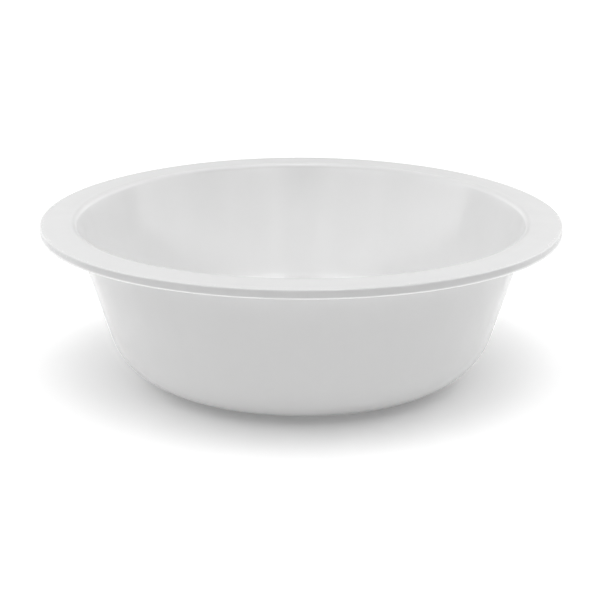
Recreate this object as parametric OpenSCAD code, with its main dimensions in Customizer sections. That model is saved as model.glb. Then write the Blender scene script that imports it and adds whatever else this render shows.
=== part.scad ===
// Round moulded basin for ward use: a deep dish with a wide flange and a
// turned-down lip, made in one piece. Millimetres, +Z up, the origin on the
// table under the centre of the base.
//
// The wall is a section of constant thickness turned about Z, but for the
// outer corner of the lip, which is fuller. Going outwards it is the base, a
// bend, the side wall, a bend, the flange, a bend and the lip. The section is
// a blank with the air above the wall and the air below it taken away. A foot
// ring and a gate well are under the base.

/* [Basin] */
// Diameter across the lip
rim_d = 350; // [340:1:370]
// Height from the table to the highest ring of the flange
basin_h = 108.5; // [100:0.5:114]
// Thickness of the moulded wall
wall_t = 2.8; // [2:0.1:3]
// Lean of the side wall from the vertical, in degrees
wall_lean = 17; // [14:0.5:18]
// Diameter of the flat of the base
base_d = 180; // [160:1:182]
// Outer radius of the bend between the base and the side wall
corner_r = 42; // [30:1:44]

/* [Rim] */
// Radius of the bend between the side wall and the flange, on its underside
shoulder_r = 1.4; // [0.8:0.1:3]
// Fall of the flange towards the lip, in degrees
flange_fall = 1.5; // [0.5:0.5:4]
// Radius of the bend between the flange and the lip, on its underside
lip_r = 0.6; // [0.3:0.1:2]
// Radius of the outer corner between the flange and the lip
lip_corner_r = 1; // [0.5:0.1:2]
// Flare of the lip from the vertical, in degrees
lip_flare = 5; // [2:1:10]
// Depth of the lip below its bend
lip_face = 1.4; // [0.4:0.1:4]

/* [Base] */
// Height of the foot ring
foot_h = 0.8; // [0.6:0.1:2]
// Width of the foot ring
foot_w = 4; // [2:0.5:8]
// Inset of the foot ring from the edge of the flat of the base
foot_inset = 5; // [2:1:12]
// Chamfer on the lower edges of the foot ring
foot_chamfer = 0.3; // [0.1:0.1:0.5]
// Diameter of the well that keeps the gate stub clear of the table
well_d = 14; // [10:1:20]
// Depth of the gate well
well_h = 0.6; // [0.4:0.1:1]
// Diameter of the gate stub
stub_d = 3; // [2:0.5:5]

/* [Hidden] */
$fn = 180;
PLASTIC = [0.93, 0.93, 0.92];

// Room left round the section by the shapes that are cut from it
MARGIN = 10;
// Amount by which a bend stands past the flats beside it, so that the
// outlines cross cleanly where a bend would only touch a flat
SEAM = 0.002;

// Unit step in the section along an angle, where 0 is outwards and 90 is up
function along(angle) = [cos(angle), sin(angle)];

// Centre of the bend at the edge of the base
corner_at = [base_d / 2, foot_h + corner_r];

// Centre of the shoulder, which is as far up the side wall as the height lets it be
shoulder_across = corner_r + shoulder_r;
shoulder_up = basin_h - wall_t - shoulder_r - corner_at[1];
wall_run = (shoulder_up + shoulder_across * sin(wall_lean)) / cos(wall_lean);
shoulder_at = corner_at + shoulder_across * along(-wall_lean) + wall_run * along(90 - wall_lean);

// Centre of the lip bend, from which the rounded edge reaches the full diameter
lip_mid_r = lip_r + wall_t / 2;
lip_out = rim_d / 2 - wall_t / 2 - lip_face * sin(lip_flare) - lip_mid_r * cos(lip_flare);
lip_across = shoulder_r - lip_r;
flange_run = (lip_out - shoulder_at[0] - lip_across * sin(flange_fall)) / cos(flange_fall);
lip_at = shoulder_at + lip_across * along(90 - flange_fall) + flange_run * along(-flange_fall);

// Centre of the lip's outer corner, which is tighter than the wall's bend and
// touches the top of the flange and the face of the lip
flange_normal = along(90 - flange_fall);
face_normal = along(lip_flare);
corner_shift = (flange_normal + face_normal) / (1 + flange_normal * face_normal);
lip_corner_at = lip_at + (lip_r + wall_t - lip_corner_r) * corner_shift;

// Angles where the bends of the base, the shoulder and the lip begin and end
BEND_ANGLES = [
    [-90, -wall_lean],
    [180 - wall_lean, 90 - flange_fall],
    [90 - flange_fall, lip_flare]
];

// Centres and radii of the bends on each side of the wall
UNDER = [[corner_at, corner_r], [shoulder_at, shoulder_r], [lip_at, lip_r]];
UPPER = [
    [corner_at, corner_r - wall_t],
    [shoulder_at, shoulder_r + wall_t],
    [lip_corner_at, lip_corner_r]
];

// End of the lip at a distance from the underside of the wall
function lip_end(depth) =
    lip_at + (lip_r + depth) * along(lip_flare) + lip_face * along(lip_flare - 90);

// Ends of every bend on one side of the wall
function outline(side) = [
    for (i = [0:2])
        for (angle = BEND_ANGLES[i])
            side[i][0] + side[i][1] * along(angle)
];

module disc(bend) {
    translate(bend[0])
        circle(r = bend[1] + SEAM);
}

// Air in the dish, above the flange and outside the lip
module air_above() {
    floor_z = foot_h + wall_t;
    difference() {
        union() {
            polygon(concat([[-MARGIN, floor_z]], outline(UPPER), [
                lip_end(wall_t),
                [rim_d / 2 + MARGIN, lip_at[1] - MARGIN],
                [rim_d / 2 + MARGIN, basin_h + MARGIN],
                [-MARGIN, basin_h + MARGIN]
            ]));
            disc(UPPER[0]);
        }
        disc(UPPER[1]);
        disc(UPPER[2]);
    }
}

// Air under the base, round the side wall and inside the lip
module air_below() {
    difference() {
        union() {
            polygon(concat([[-MARGIN, foot_h]], outline(UNDER), [
                lip_end(0),
                lip_end(wall_t),
                [rim_d / 2 + MARGIN, lip_end(wall_t)[1]],
                [rim_d / 2 + MARGIN, -MARGIN],
                [-MARGIN, -MARGIN]
            ]));
            disc(UNDER[1]);
            disc(UNDER[2]);
        }
        disc(UNDER[0]);
    }
}

// Rounded edge of the lip, as thick as the wall
module lip_edge() {
    translate(lip_end(wall_t / 2))
        circle(d = wall_t + 2 * SEAM);
}

// Foot ring, with its lower edges chamfered
module foot() {
    outer = base_d / 2 - foot_inset;
    inner = outer - foot_w;
    root = foot_h + wall_t / 2;
    polygon([
        [inner, root],
        [inner, foot_chamfer],
        [inner + foot_chamfer, 0],
        [outer - foot_chamfer, 0],
        [outer, foot_chamfer],
        [outer, root]
    ]);
}

// Well with sloping sides in the underside of the base
module gate_well() {
    translate([0, foot_h])
        polygon([
            [-MARGIN, -MARGIN],
            [well_d / 2, -MARGIN],
            [well_d / 2, 0],
            [well_d / 2 - well_h, well_h],
            [-MARGIN, well_h]
        ]);
}

// Stub of the gate, level with the underside of the base
module gate_stub() {
    translate([0, foot_h])
        square([stub_d / 2, wall_t / 2]);
}

module section() {
    difference() {
        square([rim_d / 2 + MARGIN / 2, basin_h + MARGIN / 2]);
        air_above();
        air_below();
        gate_well();
    }
    lip_edge();
    foot();
    gate_stub();
}

module basin() {
    color(PLASTIC)
        rotate_extrude()
            section();
}

basin();
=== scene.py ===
"""Looks of the round ward basin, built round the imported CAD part. Metres, +Z up."""

import math

import bmesh
import bpy
from mathutils import Matrix, Vector


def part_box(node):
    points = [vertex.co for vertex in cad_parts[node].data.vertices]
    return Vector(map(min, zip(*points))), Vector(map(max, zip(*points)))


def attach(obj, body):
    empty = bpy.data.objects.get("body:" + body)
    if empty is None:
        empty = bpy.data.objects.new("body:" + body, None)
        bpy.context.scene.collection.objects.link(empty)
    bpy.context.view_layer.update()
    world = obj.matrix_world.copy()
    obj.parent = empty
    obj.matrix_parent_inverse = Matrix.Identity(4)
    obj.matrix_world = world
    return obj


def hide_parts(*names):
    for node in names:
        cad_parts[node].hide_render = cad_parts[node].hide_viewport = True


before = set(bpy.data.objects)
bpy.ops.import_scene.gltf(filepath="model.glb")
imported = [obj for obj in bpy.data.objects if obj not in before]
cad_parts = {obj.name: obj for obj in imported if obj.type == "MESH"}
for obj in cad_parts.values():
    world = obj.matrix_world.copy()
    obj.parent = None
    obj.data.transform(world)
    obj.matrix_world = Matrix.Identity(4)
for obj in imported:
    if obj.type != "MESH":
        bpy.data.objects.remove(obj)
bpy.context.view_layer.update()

MM = 0.001

# ---------------------------------------------------------------- dimensions

# The lip's radius and the flange's height come from the CAD part
CAD_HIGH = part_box("basin")[1]
LIP_R = CAD_HIGH.x
TOP_Z = CAD_HIGH.z

WALL_T = 2.8 * MM
WALL_LEAN = 17
BASE_R = 90 * MM
CORNER_R = 42 * MM
SHOULDER_R = 1.4 * MM
FLANGE_FALL = 1.5
LIP_BEND_R = 0.6 * MM
LIP_CORNER_R = 1.0 * MM
LIP_FLARE = 5
LIP_FACE = 1.4 * MM

FOOT_H = 0.8 * MM
FOOT_W = 4 * MM
FOOT_INSET = 5 * MM
WELL_R = 7 * MM
WELL_H = 0.6 * MM
STUB_R = 1.5 * MM
# Rounding of the small edges under the base
EDGE_R = 0.24 * MM

# How far the rim of a cooled moulding strays: out of round by an oval and a three-sided bulge, and out
# of flat by a saddle and a ripple
OVAL = 0.10 * MM
BULGE = 0.05 * MM
SADDLE = 0.80 * MM
RIPPLE = 0.05 * MM

# Mesh density: steps round the axis, and the longest step along the section
TURN_STEPS = 288
RUN_STEP = 5 * MM


# ------------------------------------------------------------------- section


def along(angle):
    """Unit step in the section, where 0 degrees is outwards and 90 is up."""
    return Vector((math.cos(math.radians(angle)), math.sin(math.radians(angle))))


def arc(centre, radius, start, end, steps):
    """Points of an arc in the section, from one angle to another."""
    turn = end - start
    return [centre + radius * along(start + turn * i / steps) for i in range(steps + 1)]


def rounded(corners, radius, steps=3):
    """The inner corners of a run of straight lines, each rounded to a radius. The ends are left out."""
    points = []
    for before, corner, after in zip(corners, corners[1:], corners[2:]):
        back = (before - corner).normalized()
        ahead = (after - corner).normalized()
        half = back.angle(ahead) / 2
        centre = corner + (back + ahead).normalized() * radius / math.sin(half)
        first = corner + back * radius / math.tan(half) - centre
        last = corner + ahead * radius / math.tan(half) - centre
        turn = first.angle_signed(last)
        for i in range(steps + 1):
            # angle_signed counts clockwise as positive
            swing = -turn * i / steps
            cos, sin = math.cos(swing), math.sin(swing)
            points.append(centre + Vector((first.x * cos - first.y * sin, first.x * sin + first.y * cos)))
    return points


def subdivided(points, longest):
    """The same line, with points added so that no step is longer than a given length."""
    line = [points[0]]
    for start, end in zip(points, points[1:]):
        steps = max(1, math.ceil((end - start).length / longest))
        line += [start.lerp(end, i / steps) for i in range(1, steps + 1)]
    return line


def bend_centres():
    """Centres of the corner, the shoulder and the lip bend, in the section."""
    corner = Vector((BASE_R, FOOT_H + CORNER_R))
    lean = math.radians(WALL_LEAN)
    across = CORNER_R + SHOULDER_R
    up = TOP_Z - WALL_T - SHOULDER_R - corner.y
    wall_run = (up + across * math.sin(lean)) / math.cos(lean)
    shoulder = corner + across * along(-WALL_LEAN) + wall_run * along(90 - WALL_LEAN)

    fall = math.radians(FLANGE_FALL)
    flare = math.radians(LIP_FLARE)
    lip_mid_r = LIP_BEND_R + WALL_T / 2
    lip_out = LIP_R - WALL_T / 2 - LIP_FACE * math.sin(flare) - lip_mid_r * math.cos(flare)
    step = SHOULDER_R - LIP_BEND_R
    flange_run = (lip_out - shoulder.x - step * math.sin(fall)) / math.cos(fall)
    lip = shoulder + step * along(90 - FLANGE_FALL) + flange_run * along(-FLANGE_FALL)
    return corner, shoulder, lip


# Height near the middle of the lip's rounded edge, which the camera is set about
RIM_Z = bend_centres()[2].y - LIP_FACE


def lip_corner(lip):
    """Centre of the lip's outer corner, which is tighter than the wall's bend."""
    normals = (along(90 - FLANGE_FALL), along(LIP_FLARE))
    shift = (normals[0] + normals[1]) / (1 + normals[0].dot(normals[1]))
    return lip + (LIP_BEND_R + WALL_T - LIP_CORNER_R) * shift


def base_section():
    """Underside of the base from the axis outwards: gate stub, gate well and foot ring."""
    foot_out = BASE_R - FOOT_INSET
    foot_in = foot_out - FOOT_W
    corners = [
        Vector((0, FOOT_H)),
        Vector((STUB_R, FOOT_H)),
        Vector((STUB_R, FOOT_H + WELL_H)),
        Vector((WELL_R - WELL_H, FOOT_H + WELL_H)),
        Vector((WELL_R, FOOT_H)),
        Vector((foot_in, FOOT_H)),
        Vector((foot_in, 0)),
        Vector((foot_out, 0)),
        Vector((foot_out, FOOT_H)),
        Vector((BASE_R, FOOT_H)),
    ]
    return [corners[0]] + rounded(corners, EDGE_R)


def section():
    """The whole section, from the axis under the base, round the lip, to the axis in the dish."""
    corner, shoulder, lip = bend_centres()
    lip_end = lip + (LIP_BEND_R + WALL_T / 2) * along(LIP_FLARE) + LIP_FACE * along(LIP_FLARE - 90)
    turned_in = 180 - WALL_LEAN
    turned_up = 90 - FLANGE_FALL
    points = base_section()
    points += arc(corner, CORNER_R, -90, -WALL_LEAN, 20)
    points += arc(shoulder, SHOULDER_R, turned_in, turned_up, 5)
    points += arc(lip, LIP_BEND_R, turned_up, LIP_FLARE, 4)
    points += arc(lip_end, WALL_T / 2, LIP_FLARE - 180, LIP_FLARE, 12)
    points += arc(lip_corner(lip), LIP_CORNER_R, LIP_FLARE, turned_up, 8)
    points += arc(shoulder, SHOULDER_R + WALL_T, turned_up, turned_in, 10)
    points += arc(corner, CORNER_R - WALL_T, -WALL_LEAN, -90, 20)
    points.append(Vector((0, FOOT_H + WALL_T)))
    return subdivided(points, RUN_STEP)


# ------------------------------------------------------------------- the mesh


def warp(point, turn):
    """Moves a point as a moulding does when it cools: out of round, with a rim that sags at two sides."""
    out_of_round = OVAL * math.cos(2 * turn + 0.6) + BULGE * math.cos(3 * turn + 2.1)
    wave = -SADDLE * math.cos(2 * turn) + RIPPLE * math.cos(4 * turn + 0.4)
    share = (point.z / TOP_Z) ** 3
    outwards = Vector((math.cos(turn), math.sin(turn), 0))
    return point + share * (out_of_round * outwards + wave * Vector((0, 0, 1)))


def turned_mesh(name, points):
    """The section turned about Z, with one vertex at each end, which is on the axis."""
    mesh = bmesh.new()
    rings = []
    for point in points[1:-1]:
        ring = []
        for step in range(TURN_STEPS):
            turn = 2 * math.pi * step / TURN_STEPS
            place = Vector((point.x * math.cos(turn), point.x * math.sin(turn), point.y))
            ring.append(mesh.verts.new(warp(place, turn)))
        rings.append(ring)
    for lower, upper in zip(rings, rings[1:]):
        for i in range(TURN_STEPS):
            j = (i + 1) % TURN_STEPS
            mesh.faces.new((lower[i], lower[j], upper[j], upper[i]))
    for ring, point, order in ((rings[0], points[0], -1), (rings[-1], points[-1], 1)):
        pole = mesh.verts.new((0, 0, point.y))
        for i in range(TURN_STEPS):
            corners = (ring[i], ring[(i + 1) % TURN_STEPS], pole)
            mesh.faces.new(corners[::order])
    for face in mesh.faces:
        face.smooth = True
    data = bpy.data.meshes.new(name)
    mesh.to_mesh(data)
    mesh.free()
    piece = bpy.data.objects.new(name, data)
    bpy.context.scene.collection.objects.link(piece)
    return piece


# ------------------------------------------------------------------ materials

# Greys of the plastic, of its scuffs and of the floor, as linear values
PLASTIC_WHITE = 0.82
SCUFF_GREY = 0.74
FLOOR_WHITE = 0.84
MATT_ROUGHNESS = 0.9

# Roughness of the plastic where nothing adds to it, and its refractive index
SATIN_ROUGHNESS = 0.09
PLASTIC_IOR = 1.49

# Sizes of the lumps in each pattern of the moulding
CLOUD_SIZE = 45 * MM
PATCH_SIZE = 9 * MM
PEEL_SIZE = 2.4 * MM
GRAIN_SIZE = 0.35 * MM
KNOCK_SIZE = 1.1 * MM
TURNING_PITCH = 0.8 * MM

# Patterns that run with the moulding: the turn round the axis that a lump takes up, in radians, and its
# length along the section
FLOW_LUMP = (0.09, 81 * MM)
SCRATCH_LUMP = (0.3, 0.66 * MM)

# Levels of the noise between which a scratch or a knock comes in
SCRATCH_LEVELS = (0.68, 0.76)
KNOCK_LEVELS = (0.60, 0.68)

# Wear of the foot ring, and how far wear turns the plastic grey
FOOT_WEAR = 0.8
SCUFF_SHARE = 0.5

# Painted highlight: emission on the thin lower edge of the lip, which stands in for the light that comes
# through that edge
PAINTED_EDGE_HIGHLIGHT = 0.2

# Light that the floor gives out itself, as a light table does, beside the dish and further out, and the
# distances from the axis between which it rises. It lifts the dish's shadow on the floor, and being weaker
# beside the dish it paints shade round the dish.
FLOOR_GLOW = (0.13, 0.22)
FLOOR_GLOW_REACH = (0.5 * LIP_R, 1.1 * LIP_R)


def feed(tree, socket, value):
    """Links a node's input to another node's output, or sets it to a number."""
    if isinstance(value, bpy.types.NodeSocket):
        tree.links.new(value, socket)
    else:
        socket.default_value = value


def calculate(tree, operation, *values):
    """A sum, product or other function of one to three values."""
    node = tree.nodes.new("ShaderNodeMath")
    node.operation = operation
    for socket, value in zip(node.inputs, values):
        feed(tree, socket, value)
    return node.outputs[0]


def vector(tree, *values):
    node = tree.nodes.new("ShaderNodeCombineXYZ")
    for socket, value in zip(node.inputs, values):
        feed(tree, socket, value)
    return node.outputs[0]


def noise(tree, place, size, detail=2.0):
    """Smooth noise from 0 to 1, whose lumps are of about a given size."""
    node = tree.nodes.new("ShaderNodeTexNoise")
    feed(tree, node.inputs["Vector"], place)
    node.inputs["Scale"].default_value = 1 / size
    node.inputs["Detail"].default_value = detail
    return node.outputs["Fac"]


def turned_noise(tree, heading, run, lump):
    """Noise whose lumps take up a turn round the axis and a length along the section."""
    turn, length = lump
    scaled_run = calculate(tree, "MULTIPLY", run, turn / length)
    return noise(tree, vector(tree, *heading, scaled_run), turn, 3.0)


def remap(tree, value, low, high, to_low=0.0, to_high=1.0):
    """A value's smooth change from one level to another as it crosses a range."""
    node = tree.nodes.new("ShaderNodeMapRange")
    node.interpolation_type = "SMOOTHSTEP"
    for socket, number in zip(node.inputs, (value, low, high, to_low, to_high)):
        feed(tree, socket, number)
    return node.outputs["Result"]


def total(tree, *terms):
    """Sum of several values, each given with its weight."""
    result = 0.0
    for value, weight in terms:
        result = calculate(tree, "MULTIPLY_ADD", value, weight, result)
    return result


def plastic():
    """White satin plastic with orange peel, flow lines, the mould's turning marks and light wear, and a
    painted highlight that glows on the lip's lower edge.
    """
    material = bpy.data.materials.new("moulded_plastic")
    material.use_nodes = True
    tree = material.node_tree
    shader = tree.nodes["Principled BSDF"]

    # Places on the moulding: the radius, the height, the heading from the axis and the run of the section
    place = tree.nodes.new("ShaderNodeTexCoord").outputs["Object"]
    split = tree.nodes.new("ShaderNodeSeparateXYZ")
    feed(tree, split.inputs[0], place)
    x, y, height = split.outputs
    squares = calculate(tree, "ADD", calculate(tree, "MULTIPLY", x, x), calculate(tree, "MULTIPLY", y, y))
    radius = calculate(tree, "SQRT", squares)
    safe_radius = calculate(tree, "MAXIMUM", radius, MM)
    heading = [calculate(tree, "DIVIDE", part, safe_radius) for part in (x, y)]
    run = calculate(tree, "ADD", radius, height)

    # Parts of the surface that wear; the lip also carries the painted highlight
    foot = remap(tree, height, 0.5 * FOOT_H, 0.1 * FOOT_H)
    lip = remap(tree, radius, LIP_R - 1.5 * WALL_T, LIP_R - 0.2 * WALL_T)

    # Patterns of the moulding
    clouds = noise(tree, place, CLOUD_SIZE)
    patches = noise(tree, place, PATCH_SIZE, 4.0)
    peel = noise(tree, place, PEEL_SIZE, 1.0)
    grain = noise(tree, place, GRAIN_SIZE)
    flow = turned_noise(tree, heading, run, FLOW_LUMP)
    turning = noise(tree, vector(tree, run), TURNING_PITCH)

    # Fine scratches round the dish, and knocks on the edges that wear
    scratches = remap(tree, turned_noise(tree, heading, run, SCRATCH_LUMP), *SCRATCH_LEVELS)
    knocks = remap(tree, noise(tree, place, KNOCK_SIZE, 3.0), *KNOCK_LEVELS)
    worn = calculate(tree, "MULTIPLY", calculate(tree, "MAXIMUM", foot, lip), knocks)
    scuffed = calculate(tree, "MAXIMUM", calculate(tree, "MULTIPLY", foot, FOOT_WEAR), worn)

    # Colour: barely mottled about its middle tone, greyer where it is scuffed
    tone_terms = ((clouds, 0.030), (flow, 0.016), (patches, 0.008))
    middle_tone = sum(weight for _, weight in tone_terms) / 2
    white = calculate(tree, "ADD", total(tree, *tone_terms), PLASTIC_WHITE - middle_tone)
    shade = tree.nodes.new("ShaderNodeMix")
    shade.data_type = "FLOAT"
    feed(tree, shade.inputs["Factor"], calculate(tree, "MULTIPLY", scuffed, SCUFF_SHARE))
    feed(tree, shade.inputs["A"], white)
    shade.inputs["B"].default_value = SCUFF_GREY
    tint = tree.nodes.new("ShaderNodeCombineColor")
    for socket in tint.inputs:
        feed(tree, socket, shade.outputs[0])
    feed(tree, shader.inputs["Base Color"], tint.outputs[0])

    # Gloss: satin, duller where it is scuffed or scratched
    rough_terms = ((clouds, 0.10), (patches, 0.06), (grain, 0.04), (scratches, 0.07), (scuffed, 0.25))
    rough = calculate(tree, "ADD", total(tree, *rough_terms), SATIN_ROUGHNESS)
    feed(tree, shader.inputs["Roughness"], rough)
    shader.inputs["IOR"].default_value = PLASTIC_IOR

    # Relief, in metres
    relief_terms = (
        (clouds, 0.020 * MM),
        (peel, 0.0035 * MM),
        (grain, 0.0007 * MM),
        (flow, 0.004 * MM),
        (turning, 0.0015 * MM),
        (scratches, -0.002 * MM),
        (worn, -0.02 * MM),
    )
    bump = tree.nodes.new("ShaderNodeBump")
    bump.inputs["Strength"].default_value = 1.0
    bump.inputs["Distance"].default_value = 1.0
    feed(tree, bump.inputs["Height"], total(tree, *relief_terms))
    feed(tree, shader.inputs["Normal"], bump.outputs[0])

    # Painted highlight: the lip's lower edge glows as emission
    edge = remap(tree, height, RIM_Z + 0.35 * WALL_T, RIM_Z - 0.05 * WALL_T)
    painted_highlight_on_lip = calculate(tree, "MULTIPLY", edge, lip)
    shader.inputs["Emission Color"].default_value = (1, 1, 1, 1)
    feed(tree, shader.inputs["Emission Strength"], calculate(tree, "MULTIPLY", painted_highlight_on_lip, PAINTED_EDGE_HIGHLIGHT))
    return material


def matt(name, grey):
    """A matt grey without any gloss."""
    material = bpy.data.materials.new(name)
    material.use_nodes = True
    shader = material.node_tree.nodes["Principled BSDF"]
    shader.inputs["Base Color"].default_value = (grey, grey, grey, 1)
    shader.inputs["Roughness"].default_value = MATT_ROUGHNESS
    shader.inputs["Specular IOR Level"].default_value = 0.0
    return material


def paper():
    """Plain white floor, which gives out a little light itself; that light is weaker beside the dish, so it
    paints shade round the dish and lifts its shadow.
    """
    material = matt("floor_white", FLOOR_WHITE)
    tree = material.node_tree
    shader = tree.nodes["Principled BSDF"]
    shader.inputs["Emission Color"].default_value = (1, 1, 1, 1)
    away = tree.nodes.new("ShaderNodeVectorMath")
    away.operation = "LENGTH"
    feed(tree, away.inputs[0], tree.nodes.new("ShaderNodeTexCoord").outputs["Object"])
    # Weaker beside the dish: painted shade round it, and painted light in its shadow
    glow_with_painted_shade = remap(tree, away.outputs["Value"], *FLOOR_GLOW_REACH, *FLOOR_GLOW)
    feed(tree, shader.inputs["Emission Strength"], glow_with_painted_shade)
    return material


# ---------------------------------------------------------------------- stage

# Camera: its distance and elevation from the middle of the rim, its lens and sensor in millimetres, and
# how far it looks below that middle, turns aside and rolls, in degrees
CAMERA_DISTANCE = 6.5 * LIP_R
CAMERA_ELEVATION = 14.78
CAMERA_LENS = 100.85
CAMERA_SENSOR = 36
CAMERA_DROP = 2.66
CAMERA_PAN = 0.036
CAMERA_ROLL = 0.114

FLOOR_HALF = 12


def pointing(azimuth, elevation):
    """Unit vector at an azimuth, counted from +X towards +Y, and an elevation, in degrees."""
    flat = along(azimuth) * math.cos(math.radians(elevation))
    return Vector((flat.x, flat.y, math.sin(math.radians(elevation))))


def add_camera():
    camera = bpy.data.cameras.new("camera")
    camera.lens = CAMERA_LENS
    camera.sensor_width = CAMERA_SENSOR
    camera.clip_start = 0.05
    camera.clip_end = 50
    holder = bpy.data.objects.new("camera", camera)
    place = Vector((0, 0, RIM_Z)) + CAMERA_DISTANCE * pointing(-90, CAMERA_ELEVATION)
    holder.matrix_world = Matrix.Translation(place)
    turns = (("X", 90 - CAMERA_ELEVATION - CAMERA_DROP), ("Y", CAMERA_PAN), ("Z", CAMERA_ROLL))
    for axis, turn in turns:
        holder.matrix_world @= Matrix.Rotation(math.radians(turn), 4, axis)
    bpy.context.scene.collection.objects.link(holder)
    bpy.context.scene.camera = holder


def add_floor():
    half = FLOOR_HALF
    mesh = bpy.data.meshes.new("floor")
    corners = [(-half, -half, 0), (half, -half, 0), (half, half, 0), (-half, half, 0)]
    mesh.from_pydata(corners, [], [(0, 1, 2, 3)])
    mesh.materials.append(paper())
    floor = bpy.data.objects.new("floor", mesh)
    bpy.context.scene.collection.objects.link(floor)


# Dark card round the front of the dish, from a gap above the floor up to a height
CARD_RADIUS = 0.6
CARD_GAP = 0.02
CARD_HEIGHT = 0.13
CARD_GREY = 0.1
CARD_AZIMUTHS = range(180, 361, 5)


def add_card():
    """Keeps the far floor from lighting the side of the dish, unseen by the camera and without a shadow."""
    corners = []
    for azimuth in CARD_AZIMUTHS:
        foot = CARD_RADIUS * pointing(azimuth, 0)
        corners += [foot + Vector((0, 0, CARD_GAP)), foot + Vector((0, 0, CARD_HEIGHT))]
    mesh = bpy.data.meshes.new("card")
    mesh.from_pydata(corners, [], [(i, i + 2, i + 3, i + 1) for i in range(0, len(corners) - 2, 2)])
    mesh.materials.append(matt("card_grey", CARD_GREY))
    card = bpy.data.objects.new("card", mesh)
    card.visible_camera = False
    card.visible_shadow = False
    bpy.context.scene.collection.objects.link(card)


# Soft lights of the studio dome: their name, the azimuths and the elevation of their middles, and their
# level. Each falls off as a power of the cosine of the angle from its middle.
DOME_POWER = 14
DOME_LIGHTS = (
    ("back", (60, 120), 8, 1.35),
    ("back_sides", (30, 150), 8, 0.9),
    ("side_right", (30,), 35, 2.0),
    ("side_left", (150, 180), 35, 1.1),
    ("top_left", (240,), 74, 2.5),
    ("top_right", (300,), 74, 3.3),
)

# Panels side by side round the front, which show only as a sheen in the dish
PANEL_DISTANCE = 1.6
PANEL_TURN = 30
PANEL_AZIMUTHS = range(180, 361, PANEL_TURN)
PANEL_ELEVATION = 21
PANEL_HEIGHT = 0.7
PANEL_RADIANCE = 2.5

# Brighter strips along their upper edge: the azimuth and the width of each
STRIPS = ((234, 0.9), (297, 0.7))
STRIP_ELEVATION = 31
STRIP_HEIGHT = 0.2
STRIP_RADIANCE = 5.0


def add_dome():
    """World light that is the sum of the dome's soft lights."""
    world = bpy.data.worlds.new("studio_dome")
    world.use_nodes = True
    tree = world.node_tree
    direction = tree.nodes.new("ShaderNodeTexCoord").outputs["Generated"]
    strength = 0.0
    for name, azimuths, elevation, level in DOME_LIGHTS:
        for azimuth in azimuths:
            facing = tree.nodes.new("ShaderNodeVectorMath")
            facing.label = name
            facing.operation = "DOT_PRODUCT"
            feed(tree, facing.inputs[0], direction)
            facing.inputs[1].default_value = pointing(azimuth, elevation)
            lit_side = calculate(tree, "MAXIMUM", facing.outputs["Value"], 0.0)
            falloff = calculate(tree, "POWER", lit_side, DOME_POWER)
            strength = calculate(tree, "MULTIPLY_ADD", falloff, level, strength)
    background = tree.nodes["Background"]
    background.inputs["Color"].default_value = (1, 1, 1, 1)
    feed(tree, background.inputs["Strength"], strength)
    bpy.context.scene.world = world


def add_panel(azimuth, elevation, width, height, radiance):
    """A flat light that faces the dish and adds gloss without lighting anything."""
    light = bpy.data.lights.new("panel", "AREA")
    light.shape = "RECTANGLE"
    light.size = width
    light.size_y = height
    light.energy = radiance * math.pi * width * height
    outwards = pointing(azimuth, elevation)
    holder = bpy.data.objects.new("panel", light)
    holder.location = Vector((0, 0, TOP_Z / 2)) + PANEL_DISTANCE * outwards
    holder.rotation_euler = outwards.to_track_quat("Z", "Y").to_euler()
    holder.visible_diffuse = False
    bpy.context.scene.collection.objects.link(holder)


def add_front_lights():
    panel_width = 2 * PANEL_DISTANCE * math.tan(math.radians(PANEL_TURN / 2))
    for azimuth in PANEL_AZIMUTHS:
        add_panel(azimuth, PANEL_ELEVATION, panel_width, PANEL_HEIGHT, PANEL_RADIANCE)
    for azimuth, width in STRIPS:
        add_panel(azimuth, STRIP_ELEVATION, width, STRIP_HEIGHT, STRIP_RADIANCE)


# ----------------------------------------------------------------------- make

basin = turned_mesh("basin_shell", section())
basin.data.materials.append(plastic())
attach(basin, "root")
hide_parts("basin")

add_camera()
add_floor()
add_card()
add_dome()
add_front_lights()
bpy.context.scene.view_settings.view_transform = "Standard"
